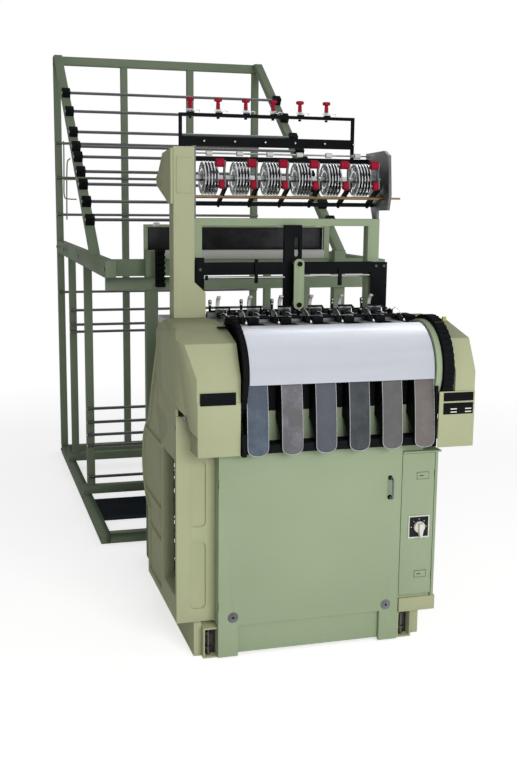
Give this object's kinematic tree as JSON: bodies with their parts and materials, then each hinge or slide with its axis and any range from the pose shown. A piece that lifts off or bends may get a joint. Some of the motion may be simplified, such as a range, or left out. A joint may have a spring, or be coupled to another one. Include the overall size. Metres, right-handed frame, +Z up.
{
  "type": "power loom",
  "caption": "Narrow-fabric needle loom with side frames, take-off roller, tape chutes, yarn feeder and an open bar creel behind it.",
  "frame": {"origin": "middle of the whole footprint, loom and creel together, on the floor", "axes": "+X across the loom to the operator's right, +Y from the loom's front towards the creel, +Z up"},
  "size_m": [1.27, 3.3299, 2.422],
  "materials": {
    "olive_paint": "semi-gloss enamel",
    "green_paint": "semi-gloss enamel",
    "creel_paint": "satin enamel",
    "black_paint": "satin enamel",
    "black_plastic": "moulded",
    "red_plastic": "moulded",
    "bright_steel": "polished",
    "dark_steel": "worn",
    "chrome": "bright",
    "alu": "cast and turned",
    "iron": "machined",
    "brass": "drawn",
    "belt_rubber": "matte",
    "white_plastic": "moulded",
    "switch_black": "moulded"
  },
  "bodies": {
    "machine": {"side_frame_left": "olive_paint", "side_frame_right": "olive_paint", "window_guard": "black_paint", "base_channels": "olive_paint", "cross_ties": "green_paint", "toe_plate": "green_paint", "front_surround": "green_paint", "hinge_pins": "bright_steel", "electrical_box": "green_paint", "motor": "iron", "drive_belt": "belt_rubber", "head_bed": "iron", "gear_cover_left": "olive_paint", "gear_cover_right": "olive_paint", "name_plates": "black_paint", "take_off_hood": "bright_steel", "hood_ring": "green_paint", "roller_cheeks": "black_paint", "fabric_chutes": "dark_steel", "chute_bar": "black_paint", "column": "olive_paint", "belt_guard": "olive_paint", "portal_frame": "green_paint", "harness_frame": "black_paint", "harness_link": "green_paint", "end_plates": "alu", "feeder_bars": "black_paint", "feeder_screw": "brass", "yarn_rod": "white_plastic", "tension_frame": "black_paint", "yarn_tensioners": "red_plastic", "thread_guides": "black_paint", "creel_frame": "creel_paint", "creel_blocks": "black_plastic", "creel_rods": "bright_steel", "creel_grating": "dark_steel", "stop_motion": "iron"},
    "door": {"front_panel": "green_paint", "panel_handle": "chrome", "panel_locks": "bright_steel"},
    "box_door": {"electrical_door": "green_paint", "switch_plate": "switch_black"},
    "switch": {"switch_knob": "white_plastic"},
    "main_drive": {"main_shaft": "bright_steel", "main_pulley": "iron"},
    "motor_rotor": {"motor_pulley": "iron"},
    "take_off": {"take_off_roller": "bright_steel", "handwheels": "black_plastic"},
    "feeder": {"feed_shaft": "bright_steel", "feed_discs": "alu"},
    "sley_unit": {"sley": "iron", "reeds": "bright_steel"},
    "weft_unit": {"weft_needles": "bright_steel"},
    "latch_unit": {"latch_needles": "bright_steel"},
    "arm_1": {"pressure_arm_1": "red_plastic"},
    "arm_2": {"pressure_arm_2": "red_plastic"},
    "arm_3": {"pressure_arm_3": "red_plastic"},
    "arm_4": {"pressure_arm_4": "red_plastic"},
    "arm_5": {"pressure_arm_5": "red_plastic"},
    "arm_6": {"pressure_arm_6": "red_plastic"}
  },
  "joints": [
    {"name": "door_hinge", "type": "hinge", "parent": "machine", "child": "door", "pos_m": [-0.402, -1.575, 0.37], "axis": [0, 0, -1], "range_deg": [0, 110]},
    {"name": "box_door_hinge", "type": "hinge", "parent": "machine", "child": "box_door", "pos_m": [0.394, -1.575, 0.44], "axis": [0, 0, 1], "range_deg": [0, 110]},
    {"name": "switch_turn", "type": "hinge", "parent": "box_door", "child": "switch", "pos_m": [0.3435, -1.5825, 0.429], "axis": [0, 1, 0], "range_deg": [0, 90]},
    {"name": "main_spin", "type": "hinge", "parent": "machine", "child": "main_drive", "pos_m": [-0.051, -1.313, 0.78], "axis": [1, 0, 0], "continuous": true},
    {"name": "motor_spin", "type": "hinge", "parent": "machine", "child": "motor_rotor", "pos_m": [0.139, -1.182, 0.34], "axis": [1, 0, 0], "continuous": true},
    {"name": "take_off_spin", "type": "hinge", "parent": "machine", "child": "take_off", "pos_m": [0.019, -1.481, 1.01], "axis": [1, 0, 0], "continuous": true},
    {"name": "feeder_spin", "type": "hinge", "parent": "machine", "child": "feeder", "pos_m": [-0.001, -1.023, 1.676], "axis": [1, 0, 0], "continuous": true},
    {"name": "sley_swing", "type": "hinge", "parent": "machine", "child": "sley_unit", "pos_m": [-0.051, -1.161, 0.82], "axis": [1, 0, 0], "range_deg": [-2, 6]},
    {"name": "weft_slide", "type": "slide", "parent": "machine", "child": "weft_unit", "axis": [1, 0, 0], "range_m": [-0.0315, 0.0106]},
    {"name": "latch_slide", "type": "slide", "parent": "machine", "child": "latch_unit", "axis": [0, 1, 0], "range_m": [-0.0046, 0.0137]},
    {"name": "arm_1_pivot", "type": "hinge", "parent": "machine", "child": "arm_1", "pos_m": [-0.288, -1.123, 1.652], "axis": [-1, 0, 0], "range_deg": [0, 26]},
    {"name": "arm_2_pivot", "type": "hinge", "parent": "machine", "child": "arm_2", "pos_m": [-0.166, -1.123, 1.652], "axis": [-1, 0, 0], "range_deg": [0, 26]},
    {"name": "arm_3_pivot", "type": "hinge", "parent": "machine", "child": "arm_3", "pos_m": [-0.044, -1.123, 1.652], "axis": [-1, 0, 0], "range_deg": [0, 26]},
    {"name": "arm_4_pivot", "type": "hinge", "parent": "machine", "child": "arm_4", "pos_m": [0.078, -1.123, 1.652], "axis": [-1, 0, 0], "range_deg": [0, 26]},
    {"name": "arm_5_pivot", "type": "hinge", "parent": "machine", "child": "arm_5", "pos_m": [0.2, -1.123, 1.652], "axis": [-1, 0, 0], "range_deg": [0, 26]},
    {"name": "arm_6_pivot", "type": "hinge", "parent": "machine", "child": "arm_6", "pos_m": [0.322, -1.123, 1.652], "axis": [-1, 0, 0], "range_deg": [0, 26]}
  ],
  "couplings": [
    {"joint": "motor_spin", "follows": "main_spin", "ratio": 2.9762},
    {"joint": "take_off_spin", "follows": "main_spin", "ratio": 0.05},
    {"joint": "feeder_spin", "follows": "main_spin", "ratio": -0.25},
    {"joint": "weft_slide", "follows": "sley_swing", "m_per_rad": -0.3},
    {"joint": "latch_slide", "follows": "sley_swing", "m_per_rad": 0.13}
  ]
}
